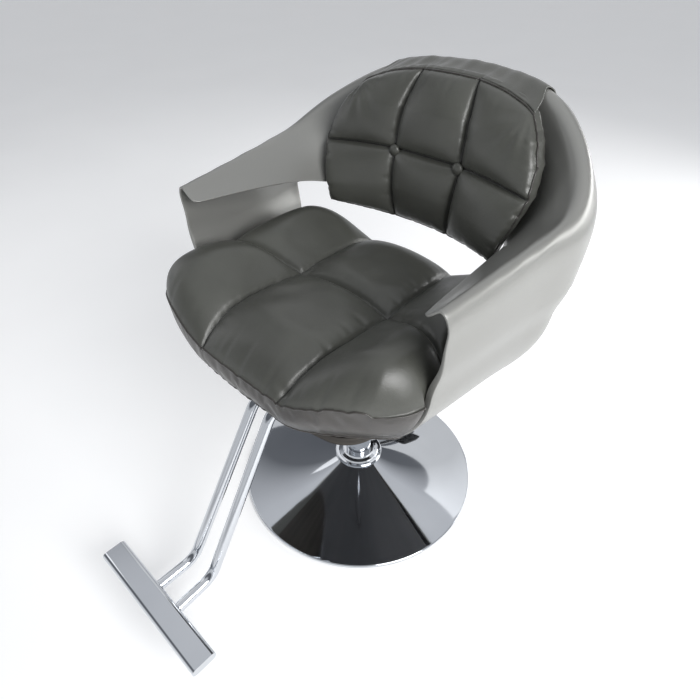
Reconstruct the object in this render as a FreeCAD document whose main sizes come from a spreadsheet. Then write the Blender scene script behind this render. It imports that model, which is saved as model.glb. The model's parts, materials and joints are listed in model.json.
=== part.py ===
import FreeCAD, Part
import math
import os
import Sketcher

# A hydraulic styling chair. Millimetres, +Z up, the sitter faces -Y.
# The origin is on the floor, on the axis that the seat swivels about. +X is the sitter's left.
# Bodies: base (fixed), ram (lifts along +Z), seat (swivels on the ram), pedal (pumps the ram).

os.makedirs("parts", exist_ok=True)
doc = FreeCAD.newDocument("StylingChair")
V = FreeCAD.Vector
AXIS_Z = V(0, 0, 1)
NODES = []

DRIVING_SIZES = {
    "base_radius": 290, "rim_level": 10, "rim_lift": 2, "neck_radius": 45, "neck_level": 64,
    "cover_gauge": 2.5, "pad_radius": 280, "pad_depth": 3,
    "ballast_radius": 276, "ballast_level": 8, "ballast_boss": 190, "boss_level": 16,
    "collar_radius": 58.5, "flange_radius": 62, "flange_level": 24,
    "pump_radius": 31.5, "pump_wall": 4, "pump_top": 300, "gland_level": 305,
    "barrel_outer": 22, "barrel_inner": 18, "barrel_top": 280,
    "rod_radius": 16.95, "rod_bore": 17, "rod_foot": 60, "rod_top": 373.7, "head_foot": 36,
    "head_radius": 17.95, "race_depth": 6, "hub_foot": 325, "hub_radius": 35,
    "plate_level": 384, "plate_gauge": 8, "plate_side": 190, "bolt_reach": 75,
    "cradle_bottom": 392, "cradle_gauge": 12, "cradle_corner": 193, "cradle_flat": 110,
    "cradle_front": 175, "cradle_rear": 150, "cradle_top": 638.5, "cradle_flare": 0.1,
    "frame_gauge": 6, "frame_width": 208, "frame_front": 140, "frame_rear": 110,
    "rail_inner": 88, "rail_width": 16, "board_level": 443, "board_gauge": 18,
    "seat_level": 462, "seat_top": 590, "seat_half": 284, "seat_front": 312, "seat_rear": 182,
    "sheet_gauge": 4, "tube_radius": 11, "tube_wall": 2, "tube_level": 428,
    "bar_length": 314, "bar_width": 50, "bar_depth": 20, "bar_reach": 577.5, "bar_level": 118,
    "cap_gauge": 3, "pin_radius": 4, "pin_level": 115, "pin_reach": 56, "lever_width": 16,
    "lever_reach": 285, "tread_width": 70, "tread_length": 56, "tread_depth": 10,
    "bolt_radius": 4, "bolt_hole": 4.2, "bolt_head": 6.5, "bolt_head_depth": 5.5, "nut_depth": 6.5,
    "flange_margin": 14, "cheek_gap": 26, "cheek_gauge": 6, "bracket_depth": 34,
    "clamp_front": 136, "clamp_rear": 64, "clamp_depth": 22, "clamp_width": 150,
    "clamp_lid": 3, "clamp_split": 0.4, "stud_radius": 3, "stud_hole": 3.2, "stud_reach": 66,
    "tube_spread": 33, "tube_bend": 45, "tube_start": 40, "knee_reach": 267.5, "ankle_reach": 471,
    "ankle_level": 109, "tube_end_level": 104, "board_half": 214, "board_rear": 160, "board_inset": 34,
    "button_radius": 12, "button_pocket": 16, "button_spread": 76, "button_reach": 187,
    "button_level": 770, "rim_round": 3, "waist_radius": 165.3, "waist_rise": 19, "neck_flat": 12,
    "gland_depth": 18, "seal_width": 5, "seal_seat": 4, "bracket_back": 30, "cheek_length": 40,
    "saddle_gauge": 10, "pin_stickout": 2, "pin_length": 52, "pin_head_radius": 6, "pin_head": 2,
    "lever_gauge": 8, "lever_drop": 19, "lever_foot": 60, "lever_root": 6, "eye_radius": 10,
    "eye_length": 25, "tread_overhang": 4, "tread_corner": 8, "plate_corner": 12, "bolt_tail": 10,
    "rail_inset": 10, "tube_tuck": 6, "bar_wall": 2,
}
TUBE_SPLAY = 1.84  # degrees that each footrest tube turns out towards the seat
THROUGH = 60  # length of a cutter that only has to reach right through
# The collar's steps: how far each lies in from its rim, and how far above the neck.
COLLAR_STEPS = [(0, 0), (0, 5), (2, 7), (8, 7), (10, 11), (18, 13), (20, 17)]
# Plan corners: the front radius, the rear radius and the bow of the front edge.
BOARD_CORNERS = (70, 50, 30)
SEAT_CORNERS = (80, 50, 40)
# The back cushion's sections: half width, front, rear, front bow, rear bow, level.
BACK_SECTIONS = [(184, 172, 242, 30, 86, 648), (198, 172, 248, 28, 92, 690),
                 (219, 178, 266, 24, 84, 780), (203, 196, 279, 20, 60, 850),
                 (163, 222, 287, 14, 36, 897)]


class Size(float):
    """A length that keeps the sheet formula it was worked out with."""

    def __new__(cls, value, formula):
        size = super().__new__(cls, value)
        size.formula = formula
        return size

    def join(self, sign, other, value):
        text = getattr(other, "formula", str(float(other)))
        return Size(value, f"({self.formula} {sign} {text})")

    def __add__(self, other):
        return self.join("+", other, float(self) + float(other))

    def __sub__(self, other):
        return self.join("-", other, float(self) - float(other))

    def __mul__(self, other):
        return self.join("*", other, float(self) * float(other))

    def __truediv__(self, other):
        return self.join("/", other, float(self) / float(other))

    def __neg__(self):
        return self.join("*", -1, -float(self))


def make_sheet():
    """Write the driving sizes to the sheet and return them by name."""
    sheet = doc.addObject("Spreadsheet::Sheet", "Sizes")
    sizes = {}
    for row, (alias, value) in enumerate(DRIVING_SIZES.items(), start=1):
        sheet.set(f"A{row}", alias)
        sheet.set(f"B{row}", str(value))
        sheet.setAlias(f"B{row}", alias)
        sizes[alias] = Size(value, f"Sizes.{alias}")
    return sizes


S = make_sheet()


# ---------------------------------------------------------------- helpers

def bind(thing, name, value):
    """Bind a property to its sheet formula; a plain number is bound as itself."""
    thing.setExpression(name, getattr(value, "formula", str(float(value))))


def place(thing, x=0, y=0, z=0):
    bind(thing, "Placement.Base.x", x)
    bind(thing, "Placement.Base.y", y)
    bind(thing, "Placement.Base.z", z)


def node(thing, label):
    """Give a sub-part its name and put it on the export list."""
    thing.Label = label
    NODES.append(thing)
    return thing


def new_body(label, plane):
    """A body with one sketch on the named origin plane."""
    body = doc.addObject("PartDesign::Body", label + "_body")
    sketch = body.newObject("Sketcher::SketchObject", label + "_sketch")
    origin_plane = [item for item in body.Origin.OriginFeatures if item.Role == plane][0]
    sketch.AttachmentSupport = [(origin_plane, "")]
    sketch.MapMode = "FlatFace"
    return body, sketch


def add_circle(sketch, radius):
    """A circle on the sketch's origin with a bound radius."""
    index = sketch.addGeometry(Part.Circle(V(0, 0, 0), AXIS_Z, float(radius)), False)
    sketch.addConstraint(Sketcher.Constraint("Coincident", index, 3, -1, 1))
    rule = sketch.addConstraint(Sketcher.Constraint("Radius", index, float(radius)))
    bind(sketch, f"Constraints[{rule}]", radius)


def add_outline(sketch, corners):
    """A closed outline of straight lines with every corner bound to the sheet."""
    count = len(corners)
    points = [V(float(x), float(y), 0) for x, y in corners]
    for start in range(count):
        sketch.addGeometry(Part.LineSegment(points[start], points[(start + 1) % count]), False)
    for start in range(count):
        sketch.addConstraint(Sketcher.Constraint("Coincident", start, 2, (start + 1) % count, 1))
    for corner, (x, y) in enumerate(corners):
        for kind, value in (("DistanceX", x), ("DistanceY", y)):
            rule = sketch.addConstraint(Sketcher.Constraint(kind, -1, 1, corner, 1, float(value)))
            if hasattr(value, "formula"):
                bind(sketch, f"Constraints[{rule}]", value)


def pad(body, sketch, length, midplane=False):
    feature = body.newObject("PartDesign::Pad", body.Name + "_pad")
    feature.Profile = sketch
    feature.SideType = "Symmetric" if midplane else "One side"
    bind(feature, "Length", length)
    sketch.Visibility = False
    return feature


def disc(label, radius, low, high, bore=None):
    """A disc or, with a bore, a ring about the swivel axis, from low to high."""
    body, sketch = new_body(label, "XY_Plane")
    add_circle(sketch, radius)
    if bore is not None:
        add_circle(sketch, bore)
    pad(body, sketch, high - low)
    place(body, z=low)
    return body


def turned(label, corners):
    """A solid of revolution about the swivel axis from (radius, level) corners."""
    body, sketch = new_body(label, "XZ_Plane")
    add_outline(sketch, corners)
    feature = body.newObject("PartDesign::Revolution", label + "_turn")
    feature.Profile = sketch
    feature.ReferenceAxis = (sketch, ["V_Axis"])
    feature.Angle = 360
    return body


def plate(label, corners, low, high):
    """A flat plate with the plan outline given by its corners."""
    body, sketch = new_body(label, "XY_Plane")
    add_outline(sketch, corners)
    pad(body, sketch, high - low)
    place(body, z=low)
    return body


def soften(body, radius, choose):
    """Round the edges of a body that the choose function picks."""
    doc.recompute()
    edges = [f"Edge{i}" for i, edge in enumerate(body.Shape.Edges, start=1) if choose(edge)]
    solid = body.Tip
    fillet = body.newObject("PartDesign::Fillet", body.Name + "_round")
    fillet.Base = (solid, edges)
    fillet.Radius = radius
    body.Tip = fillet
    return body


def upright(edge):
    box = edge.BoundBox
    return box.ZLength > 1 and box.XLength < 0.01 and box.YLength < 0.01


def block(width, depth, height, x, y, z):
    """A box by its least corner."""
    box = doc.addObject("Part::Box", "block")
    bind(box, "Length", width)
    bind(box, "Width", depth)
    bind(box, "Height", height)
    place(box, x, y, z)
    return box


def rod(radius, height, x, y, z, turn=None):
    """A round bar from a point, along +Z or turned."""
    bar = doc.addObject("Part::Cylinder", "rod")
    bind(bar, "Radius", radius)
    bind(bar, "Height", height)
    if turn is not None:
        bar.Placement = FreeCAD.Placement(V(0, 0, 0), turn)
    place(bar, x, y, z)
    return bar


def joined(pieces, name="joined"):
    whole = doc.addObject("Part::MultiFuse", name)
    whole.Shapes = pieces
    whole.Refine = True
    return whole


def grouped(pieces, name="group"):
    whole = doc.addObject("Part::Compound", name)
    whole.Links = pieces
    return whole


def cut(base, tool, name="cut"):
    result = doc.addObject("Part::Cut", name)
    result.Base = base
    result.Tool = tool
    return result


def shaped(shape, name="shaped"):
    """A feature whose shape is worked out here, for forms that no sketch describes."""
    feature = doc.addObject("Part::Feature", name)
    feature.Shape = shape
    feature.Placement = shape.Placement
    return feature


ALONG_X = FreeCAD.Rotation(V(0, 1, 0), 90)


# ---------------------------------------------------------------- base

def make_floor_pad():
    """The rubber disc that the chair rests on."""
    node(disc("pad", S["pad_radius"], 0, S["pad_depth"]), "floor_pad")


def make_ballast():
    """The weight that keeps the chair upright, a stepped steel disc."""
    foot, step, top = S["pad_depth"], S["ballast_level"], S["boss_level"]
    rim, boss = S["ballast_radius"], S["ballast_boss"]
    node(turned("ballast", [(0, foot), (rim, foot), (rim, step), (boss, step), (boss, top), (0, top)]),
         "base_ballast")


def make_base_cover():
    """The spun cover: a shallow trumpet from the rim up to the neck, as one thin shell."""
    gauge = float(S["cover_gauge"])
    rim, neck = float(S["base_radius"]), float(S["neck_radius"])
    lift, knee, top = float(S["rim_lift"]), float(S["rim_level"]), float(S["neck_level"])
    rounding = float(S["rim_round"])
    bulge = rounding * (1 - math.sqrt(0.5))

    def trumpet(inset):
        start = V(rim - rounding - inset, 0, knee - inset)
        waist = V(float(S["waist_radius"]), 0, knee + float(S["waist_rise"]) - inset)
        end = V(neck + float(S["neck_flat"]), 0, top - inset)
        return start, waist, end

    outer, inner = trumpet(0), trumpet(gauge)
    edges = [
        Part.makeLine(V(rim, 0, lift), V(rim, 0, knee - rounding)),
        Part.Arc(V(rim, 0, knee - rounding), V(rim - bulge, 0, knee - bulge), outer[0]).toShape(),
        Part.Arc(*outer).toShape(),
        Part.makeLine(outer[2], V(neck, 0, top)),
        Part.makeLine(V(neck, 0, top), V(neck, 0, top - gauge)),
        Part.makeLine(V(neck, 0, top - gauge), inner[2]),
        Part.Arc(inner[2], inner[1], inner[0]).toShape(),
        Part.makeLine(inner[0], V(rim - gauge, 0, inner[0].z - 0.5)),
        Part.makeLine(V(rim - gauge, 0, inner[0].z - 0.5), V(rim - gauge, 0, lift)),
        Part.makeLine(V(rim - gauge, 0, lift), V(rim, 0, lift)),
    ]
    profile = Part.Face(Part.Wire(edges))
    node(shaped(profile.revolve(V(0, 0, 0), AXIS_Z, 360)), "base_cover")


def make_base_collar():
    """The stepped trim ring that closes the neck around the pump."""
    foot, bore, rim = S["neck_level"], S["pump_radius"] + 0.1, S["collar_radius"]
    steps = [(rim - inset, foot + rise) for inset, rise in COLLAR_STEPS]
    node(turned("collar", [(bore, foot)] + steps + [(bore, steps[-1][1])]), "base_collar")


def make_pump():
    foot, deck = S["boss_level"], S["flange_level"]
    spots = corners_of(float(S["flange_radius"] - S["flange_margin"]) / math.sqrt(2))
    flange = disc("flange", S["flange_radius"], foot, deck)
    holes = [rod(S["bolt_hole"], deck - foot + 4, *spot, foot - 2) for spot in spots]
    node(cut(flange, grouped(holes)), "pump_flange")
    shank = deck - foot - 0.1
    bolts = [joined([rod(S["bolt_radius"], shank, x, y, deck - shank),
                     rod(S["bolt_head"], S["bolt_head_depth"], x, y, deck)]) for x, y in spots]
    node(grouped(bolts), "pump_flange_bolts")
    outer, wall = S["pump_radius"], S["pump_wall"]
    node(disc("housing", outer, deck, S["pump_top"], outer - wall), "pump_housing")
    node(disc("barrel", S["barrel_outer"], deck, S["barrel_top"], S["barrel_inner"]), "pump_barrel")


def corners_of(reach):
    """The four corners of a square about the swivel axis."""
    return [(-reach, -reach), (reach, -reach), (reach, reach), (-reach, reach)]


def make_gland():
    """The guide and the wiper seal where the ram comes out of the pump."""
    top, lid, bore = S["pump_top"], S["gland_level"], S["rod_bore"]
    inner, outer = S["pump_radius"] - S["pump_wall"], S["pump_radius"]
    foot, seat, groove = top - S["gland_depth"], lid - S["seal_seat"], bore + S["seal_width"]
    node(turned("gland", [(bore, foot), (inner, foot), (inner, top), (outer, top), (outer, lid - 1),
                          (outer - 1, lid), (groove, lid), (groove, seat), (bore, seat)]),
         "pump_gland")
    node(disc("wiper", groove - 0.1, seat, lid + 1, bore), "gland_wiper_seal")


def make_pedal_bracket():
    """Two cheeks on a saddle that is welded to the back of the pump."""
    level, reach = S["pin_level"], S["pin_reach"]
    gap, gauge, depth = S["cheek_gap"], S["cheek_gauge"], S["bracket_depth"]
    foot, back = level - depth / 2, reach - S["bracket_back"]
    edge = -(gap / 2) - gauge
    cheeks = [block(gauge, S["cheek_length"], depth, x, back, foot) for x in (edge, gap / 2)]
    saddle = block(gap + gauge * 2, S["saddle_gauge"], depth, edge, back, foot)
    body = joined(cheeks + [saddle])
    pump = rod(S["pump_radius"], depth * 2, 0, 0, level - depth)
    bore = rod(S["pin_radius"], gap * 2, -gap, reach, level, ALONG_X)
    node(cut(cut(body, pump), bore), "pedal_bracket")


def make_pedal_pin():
    level, reach = S["pin_level"], S["pin_reach"]
    start = -(S["cheek_gap"] / 2) - S["cheek_gauge"] - S["pin_stickout"]
    pin = rod(S["pin_radius"], S["pin_length"], start, reach, level, ALONG_X)
    head = rod(S["pin_head_radius"], S["pin_head"], start - S["pin_head"], reach, level, ALONG_X)
    node(joined([pin, head]), "pedal_pivot_pin")
    coil_radius, wire, pitch, turns = 6.6, 1.1, 2.6, 4
    helix = Part.makeHelix(pitch, pitch * turns, coil_radius)
    profile = Part.Wire(Part.makeCircle(wire, V(coil_radius, 0, 0), V(0, 1, 0)))
    coil = Part.Wire(helix).makePipeShell([profile], True, True)
    cheek = float(S["cheek_gap"]) / 2 + float(S["cheek_gauge"])
    coil.Placement = FreeCAD.Placement(V(cheek + wire + 0.1, float(reach), float(level)), ALONG_X)
    node(shaped(coil), "pedal_spring")


# ---------------------------------------------------------------- ram

def make_ram():
    foot, top = S["rod_foot"], S["rod_top"]
    node(disc("rod", S["rod_radius"], foot, top), "lift_ram")
    node(disc("head", S["head_radius"], S["head_foot"], foot), "ram_piston")
    node(disc("race", S["rod_radius"], top, top + S["race_depth"]), "swivel_thrust_race")


# ---------------------------------------------------------------- pedal

def make_pedal():
    """The foot lever: a barrel on the pin, a bent flat bar and a rubber tread."""
    level, reach, end = S["pin_level"], S["pin_reach"], S["lever_reach"]
    body, sketch = new_body("lever", "YZ_Plane")
    root, start, knee = S["lever_root"], reach + S["pin_radius"], end - S["lever_foot"]
    upper = level - S["lever_drop"]
    lower = upper - S["lever_gauge"]
    add_outline(sketch, [(start, level - root), (knee, lower), (end, lower), (end, upper),
                         (knee, upper), (start, level + root)])
    pad(body, sketch, S["lever_width"], midplane=True)
    eye = rod(S["eye_radius"], S["eye_length"], -(S["eye_length"] / 2), reach, level, ALONG_X)
    bore = rod(S["pin_radius"] + 0.05, THROUGH, -THROUGH / 2, reach, level, ALONG_X)
    node(cut(joined([body, eye]), bore), "pedal_lever")
    half, toe = S["tread_width"] / 2, end + S["tread_overhang"]
    heel, foot = toe - S["tread_length"], upper
    tread = plate("tread", [(-half, heel), (half, heel), (half, toe), (-half, toe)],
                  foot, foot + S["tread_depth"])
    node(soften(tread, float(S["tread_corner"]), upright), "pedal_tread")


# ---------------------------------------------------------------- seat support

def make_hub():
    """The socket that turns on the ram, closed by the mounting plate above it."""
    foot, deck, rim = S["hub_foot"], S["plate_level"], S["hub_radius"]
    roof = S["rod_top"] + S["race_depth"] + 0.3
    bore = S["rod_bore"]
    node(turned("hub", [(bore, foot), (rim - 2, foot), (rim, foot + 2), (rim, deck), (0, deck),
                        (0, roof), (bore, roof)]), "swivel_hub")


def make_mounting():
    """The plates above and below the cradle and the four bolts that clamp them."""
    low, reach = S["plate_level"], S["bolt_reach"]
    half, top = S["plate_side"] / 2, S["cradle_bottom"]
    under = plate("under", [(-half, -half), (half, -half), (half, half), (-half, half)], low, top)
    corner = float(S["plate_corner"])
    node(cut(soften(under, corner, upright), bolt_holes(low)), "mounting_plate")
    inside = top + S["cradle_gauge"]
    wide = S["frame_width"] / 2
    front, rear = -S["frame_front"], S["frame_rear"]
    frame = plate("frame", [(-wide, front), (wide, front), (wide, rear), (-wide, rear)],
                  inside, inside + S["frame_gauge"])
    node(cut(soften(frame, corner, upright), bolt_holes(low)), "seat_frame_plate")
    deck = inside + S["frame_gauge"]
    shank, head, depth = S["bolt_radius"], S["bolt_head"], S["bolt_head_depth"]
    spots = corners_of(float(reach))
    length = deck + S["bolt_tail"] - low
    bolts = [joined([rod(shank, length, x, y, low), rod(head, depth, x, y, low - depth)])
             for x, y in spots]
    node(grouped(bolts), "mounting_bolts")
    nuts = []
    for count, (x, y) in enumerate(spots):
        nut = disc(f"nut_{count}", head, deck, deck + S["nut_depth"], shank)
        place(nut, x, y, deck)
        nuts.append(nut)
    node(grouped(nuts), "mounting_nuts")


def bolt_holes(low):
    """Four clearance holes through everything between the plates."""
    spots = corners_of(float(S["bolt_reach"]))
    return grouped([rod(S["bolt_hole"], THROUGH, x, y, low - 5) for x, y in spots])


def make_rails():
    """Two rails that carry the seat board above the footrest tubes."""
    floor = S["cradle_bottom"] + S["cradle_gauge"] + S["frame_gauge"]
    inset, width = S["rail_inset"], S["rail_width"]
    depth, front = S["frame_front"] + S["frame_rear"] - inset * 2, inset - S["frame_front"]
    lefts = [-S["rail_inner"] - width, S["rail_inner"]]
    rails = [block(width, depth, S["board_level"] - floor, x, front, floor) for x in lefts]
    node(grouped(rails), "seat_frame_rails")


def rounded_plan(half, front, rear, front_corner, rear_corner, bow):
    """A D-shaped plan: bowed front edge, straight sides, rounded corners."""
    points = [V(half, rear, 0), V(-half, rear, 0), V(-half, -front + bow, 0)]
    edges = [Part.makeLine(points[0], points[1]), Part.makeLine(points[1], points[2]),
             Part.Arc(points[2], V(0, -front, 0), V(half, -front + bow, 0)).toShape(),
             Part.makeLine(V(half, -front + bow, 0), points[0])]
    slab = Part.Face(Part.Wire(edges)).extrude(V(0, 0, 100))
    rear_edges = [e for e in slab.Edges if upright(e) and e.CenterOfMass.y > 0]
    slab = slab.makeFillet(rear_corner, rear_edges)
    front_edges = [e for e in slab.Edges if upright(e) and e.CenterOfMass.y < -front / 2]
    slab = slab.makeFillet(front_corner, front_edges)
    bottom = min(slab.Faces, key=lambda face: face.CenterOfMass.z)
    return Part.Face(bottom.OuterWire)


def section_between_panels(low, high, half, clear):
    """The XZ outline that fits inside the cradle with an even clearance."""
    corner = float(S["cradle_corner"]) - float(S["cradle_gauge"]) - clear
    flat = float(S["cradle_flat"])
    centre = float(S["cradle_bottom"]) + float(S["cradle_corner"])

    def reach(level):
        drop = max(centre - level, 0)
        return min(half, flat + math.sqrt(corner ** 2 - drop ** 2))

    levels = [low + (high - low) * step / 6 for step in range(7)]
    right = [V(reach(level), 0, level) for level in levels]
    left = [V(-point.x, 0, point.z) for point in reversed(right)]
    return Part.Face(Part.makePolygon(right + left + [right[0]]))


def make_board():
    low, gauge = float(S["board_level"]), float(S["board_gauge"])
    front = float(S["seat_front"]) - float(S["board_inset"])
    plan = rounded_plan(float(S["board_half"]), front, float(S["board_rear"]), *BOARD_CORNERS)
    slab = plan.extrude(V(0, 0, gauge))
    slab.translate(V(0, 0, low))
    node(shaped(slab), "seat_board")


def make_footrest():
    """Two bent tubes from the clamps down to a flat oval bar."""
    inner = S["tube_radius"] - S["tube_wall"]
    tubes = []
    for side, name in ((1, "left"), (-1, "right")):
        tube = shaped(footrest_tube(side, float(S["tube_radius"])))
        hole = shaped(footrest_tube(side, float(inner)))
        tubes.append(tube)
        node(cut(tube, hole), f"footrest_tube_{name}")
    return [tube.Shape for tube in tubes]


def footrest_tube(side, radius):
    """One tube, solid: level under the seat, down at the front, then flat to the bar."""
    bend, level = float(S["tube_bend"]), float(S["tube_level"])
    rear = float(S["bar_reach"]) - float(S["bar_width"]) / 2
    spread = side * float(S["tube_spread"])
    run = [V(0, -float(S["tube_start"]), level), V(0, -float(S["knee_reach"]), level),
           V(0, -float(S["ankle_reach"]), float(S["ankle_level"])),
           V(0, -rear - float(S["tube_tuck"]), float(S["tube_end_level"]))]
    edges, start = [], run[0]
    for before, corner, after in zip(run, run[1:], run[2:]):
        back = (before - corner).normalize()
        onward = (after - corner).normalize()
        half_turn = (math.pi - back.getAngle(onward)) / 2
        cut_back = bend * math.tan(half_turn)
        first, last = corner + back * cut_back, corner + onward * cut_back
        inward = (back + onward).normalize()
        middle = corner + inward * (bend / math.cos(half_turn) - bend)
        edges += [Part.makeLine(start, first), Part.Arc(first, middle, last).toShape()]
        start = last
    edges.append(Part.makeLine(start, run[-1]))
    circle = Part.Wire(Part.makeCircle(radius, run[0], V(0, 1, 0)))
    tube = Part.Wire(edges).makePipeShell([circle], True, True)
    splay = FreeCAD.Rotation(AXIS_Z, side * TUBE_SPLAY)
    tube.Placement = FreeCAD.Placement(V(spread, 0, 0), splay, V(0, -rear, 0))
    return tube


def make_footrest_clamps(tubes):
    """Split clamps that grip both tubes on the frame plate."""
    floor = S["cradle_bottom"] + S["cradle_gauge"] + S["frame_gauge"]
    level, roof = S["tube_level"], S["tube_level"] + S["tube_radius"] + S["clamp_lid"]
    width, depth, split, reach = S["clamp_width"], S["clamp_depth"], S["clamp_split"], S["stud_reach"]
    both = grouped([shaped(tube) for tube in tubes])
    lower, upper, bolts = [], [], []
    for y in (-S["clamp_front"], -S["clamp_rear"]):
        lower.append(block(width, depth, level - floor, -(width / 2), y, floor))
        upper.append(block(width, depth, roof - level - split, -(width / 2), y, level + split))
        bolts += [(x, y + depth / 2) for x in (-reach, 0, reach)]
    holes = grouped([rod(S["stud_hole"], THROUGH, x, y, floor - 2) for x, y in bolts])
    lower_cut = cut(cut(grouped(lower), both), holes)
    upper_cut = cut(cut(grouped(upper), both), holes)
    node(lower_cut, "footrest_saddles")
    node(upper_cut, "footrest_clamps")
    studs = [rod(S["stud_radius"], roof - floor, x, y, floor) for x, y in bolts]
    node(grouped(studs), "clamp_studs")


def oval_prism(width, depth, length):
    """A bar of stadium section along X, centred on the origin."""
    radius = depth / 2 - 0.5
    bar = Part.makeBox(length, width, depth, V(-length / 2, -width / 2, -depth / 2))
    long_edges = [e for e in bar.Edges if e.BoundBox.XLength > length / 2]
    return bar.makeFillet(radius, long_edges)


def make_bar():
    length, width, depth = (float(S[name]) for name in ("bar_length", "bar_width", "bar_depth"))
    gauge, both_walls = float(S["cap_gauge"]), 2 * float(S["bar_wall"])
    centre = V(0, -float(S["bar_reach"]), float(S["bar_level"]))
    hollow = oval_prism(width - both_walls, depth - both_walls, length + THROUGH)
    shell = oval_prism(width, depth, length).cut(hollow)
    shell.translate(centre)
    node(shaped(shell.cut(Part.makeCompound(TUBES))), "footrest_bar")
    caps = []
    for side in (-1, 1):
        cap = oval_prism(width, depth, THROUGH)
        keep = Part.makeBox(gauge, width, depth, V(-gauge / 2, -width / 2, -depth / 2))
        cap = cap.common(keep)
        cap.translate(centre + V(side * (length + gauge) / 2, 0, 0))
        caps.append(cap)
    node(shaped(Part.makeCompound(caps)), "footrest_end_caps")


# ---------------------------------------------------------------- shell

REAR_LEAN = 0.13
PANEL_FLARE = 13.5


def cradle_wire(y, stretch, lean=0.0):
    """The closed U section of the cradle, in a plane that leans back up to y at the top."""
    gauge, corner = float(S["cradle_gauge"]), float(S["cradle_corner"])
    flat = float(S["cradle_flat"]) + stretch
    top, bottom = float(S["cradle_top"]), float(S["cradle_bottom"])
    centre = bottom + corner
    slant = math.sqrt(0.5)

    def side(sign, inset):
        radius = corner - inset
        spots = [(flat + corner + PANEL_FLARE - inset, top), (flat + radius, centre),
                 (flat + radius * slant, centre - radius * slant), (flat, centre - radius)]
        return [V(sign * x, y - lean * (top - z), z) for x, z in spots]

    edges = []
    outer_right, outer_left = side(1, 0), side(-1, 0)
    inner_right, inner_left = side(1, gauge), side(-1, gauge)
    for right, left in ((outer_right, outer_left), (inner_right, inner_left)):
        path = [Part.makeLine(right[0], right[1]),
                Part.Arc(right[1], right[2], right[3]).toShape(),
                Part.makeLine(right[3], left[3]),
                Part.Arc(left[3], left[2], left[1]).toShape(),
                Part.makeLine(left[1], left[0])]
        edges.append(path)
    rims = [Part.makeLine(outer_left[0], inner_left[0]), Part.makeLine(inner_right[0], outer_right[0])]
    return Part.Wire(Part.__sortEdges__(edges[0] + [rims[0]] + edges[1] + [rims[1]]))


def make_cradle():
    """The U-shaped pan that carries the seat and rises into the arms."""
    front, rear = -float(S["cradle_front"]), float(S["cradle_rear"])
    stretch = (rear - front) * float(S["cradle_flare"])
    sections = []
    for y, extra, lean in ((front, 0, 0), (rear, stretch, REAR_LEAN)):
        sections.append(shaped(cradle_wire(y, extra, lean), "cradle_section"))
    loft = doc.addObject("Part::Loft", "cradle_loft")
    loft.Sections = sections
    loft.Solid = True
    loft.Ruled = True
    node(cut(loft, bolt_holes(S["plate_level"])), "seat_cradle")


# Guide curves of the band, the +X half, from the front of the arm round to the
# middle of the back. Each has eight stations, and a station's points make one section.
GUIDES = {
    "lip": [(271, -173, 711), (258, -60, 706), (241, 60, 695), (224, 131, 679),
            (188, 192, 664), (126, 236, 654), (63, 256, 650), (0, 262, 649)],
    "face": [(281, -176, 718), (281, -60, 724), (278, 62, 730), (268, 138, 735),
             (236, 204, 752), (163, 262, 776), (80, 281, 789), (0, 286, 792)],
    "shoulder": [(292, -178, 728), (303, -60, 742), (313, 61, 756), (311, 140, 772),
                 (275, 212, 819), (193, 277, 877), (100, 298, 903), (0, 304, 910)],
    "crest": [(302, -179, 735), (314, -60, 747), (326, 62, 761), (325, 142, 779),
              (288, 216, 829), (202, 287, 890), (106, 310, 917), (0, 316, 924)],
    "brow": [(310, -178, 726), (321, -60, 737), (333, 63, 750), (338, 148, 766),
             (301, 226, 814), (210, 298, 872), (112, 322, 899), (0, 328, 906)],
    "wall": [(312.5, -175, 690), (324.5, -60, 695), (336, 61, 700), (347, 152, 712),
             (316, 235, 738), (217, 299, 770), (112, 322, 784), (0, 328, 788)],
    "hem": [(312.5, -175, 640), (324, -60, 640), (336, 60, 640), (345, 150, 640),
            (303, 220, 648), (190, 256, 650), (90, 272, 646), (0, 277, 645)],
}
# The flap's end station, its reach over the section, and its snaps' place on the section.
FLAP_END = 5.45
FLAP_REACH = (0.41, 0.62)
FLAP_SNAP = 0.59
SNAP_STATION = 5.9
FLAP_LIFT = 0.6
FLAP_GAUGE = 2.4
SNAP_RADIUS = 7
SNAP_HEIGHT = 3
# The guides lie on the sheet's hollow side, and the surface's own normal points into the hollow.
OUTWARD = -1
GUIDE_ORDER = ["lip", "face", "shoulder", "crest", "brow", "wall", "hem"]
PROFILE_STEPS = 22


def guide_curve(name):
    """The guide mirrored to a full curve, with a whole number at every station."""
    half = [V(*point) for point in GUIDES[name]]
    points = half + [V(-point.x, point.y, point.z) for point in reversed(half[:-1])]
    curve = Part.BSplineCurve()
    curve.interpolate(Points=points, Parameters=list(range(len(points))))
    return curve


def band_profile(curves, station):
    """Evenly spaced points of the section at a station."""
    section = Part.BSplineCurve()
    section.interpolate([curve.value(station) for curve in curves])
    return section.toShape().discretize(PROFILE_STEPS)


def band_surface():
    curves = [guide_curve(name) for name in GUIDE_ORDER]
    last = 2 * (len(GUIDES["lip"]) - 1)
    rows = [band_profile(curves, half / 2) for half in range(2 * last + 1)]
    surface = Part.BSplineSurface()
    surface.interpolate(rows)
    return surface


def make_band():
    """The sheet that wraps the back and rolls over into both arms."""
    skin = band_surface().toShape()
    node(shaped(thickened(skin, OUTWARD * float(S["sheet_gauge"]))), "shell_band")


def thickened(face, gauge):
    """The solid between a face and its offset."""
    return face.makeOffsetShape(gauge, 0.01, False, False, 0, 0, True)


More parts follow.
